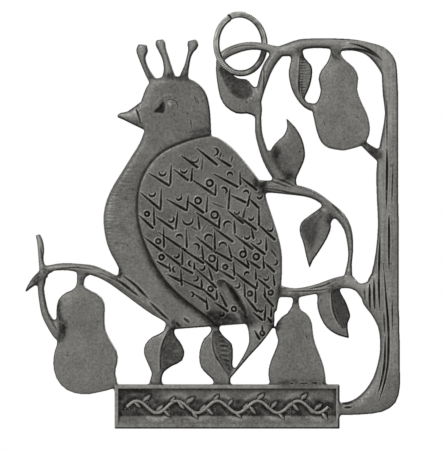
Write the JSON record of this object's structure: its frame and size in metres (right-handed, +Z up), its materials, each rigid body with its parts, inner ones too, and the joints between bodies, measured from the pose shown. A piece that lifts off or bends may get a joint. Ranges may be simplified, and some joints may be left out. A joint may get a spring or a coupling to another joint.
{
  "type": "partridge ornament",
  "caption": "Flat-backed openwork casting of a crested bird among fruit branches, over a blank name bar, hung on a round wire ring.",
  "frame": {"origin": "hang point: the inside of the wire ring at its top", "axes": "+Z up the ornament, +X to the right as the front is seen, +Y towards the flat back; the front faces -Y"},
  "size_m": [0.0693, 0.0072, 0.077],
  "materials": {
    "pewter": "antiqued cast pewter, satin",
    "ring_wire": "bright drawn wire"
  },
  "bodies": {
    "ring": {"jump_ring": "ring_wire"},
    "casting": {"name_bar": "pewter", "partridge_body": "pewter", "partridge_wing": "pewter", "partridge_head": "pewter", "partridge_beak": "pewter", "partridge_tail": "pewter", "crest_left": "pewter", "crest_middle": "pewter", "crest_right": "pewter", "trunk": "pewter", "trunk_top_bend": "pewter", "trunk_foot": "pewter", "top_branch": "pewter", "upper_stem": "pewter", "hanger_branch": "pewter", "middle_branch": "pewter", "lower_branch": "pewter", "left_branch": "pewter", "left_twig": "pewter", "left_thorn": "pewter", "left_tendril": "pewter", "pear_top": "pewter", "pear_top_calyx": "pewter", "pear_left": "pewter", "pear_right": "pewter", "leaf_hanger": "pewter", "leaf_top": "pewter", "leaf_upright": "pewter", "leaf_hanging": "pewter", "leaf_lower_right": "pewter", "leaf_foot_left": "pewter", "leaf_foot_right": "pewter"}
  },
  "joints": [
    {"name": "casting_turns_on_ring", "type": "hinge", "parent": "ring", "child": "casting", "pos_m": [0, 0, -0.0052], "axis": [0, 0, 1], "range_deg": [-98, 8]}
  ]
}
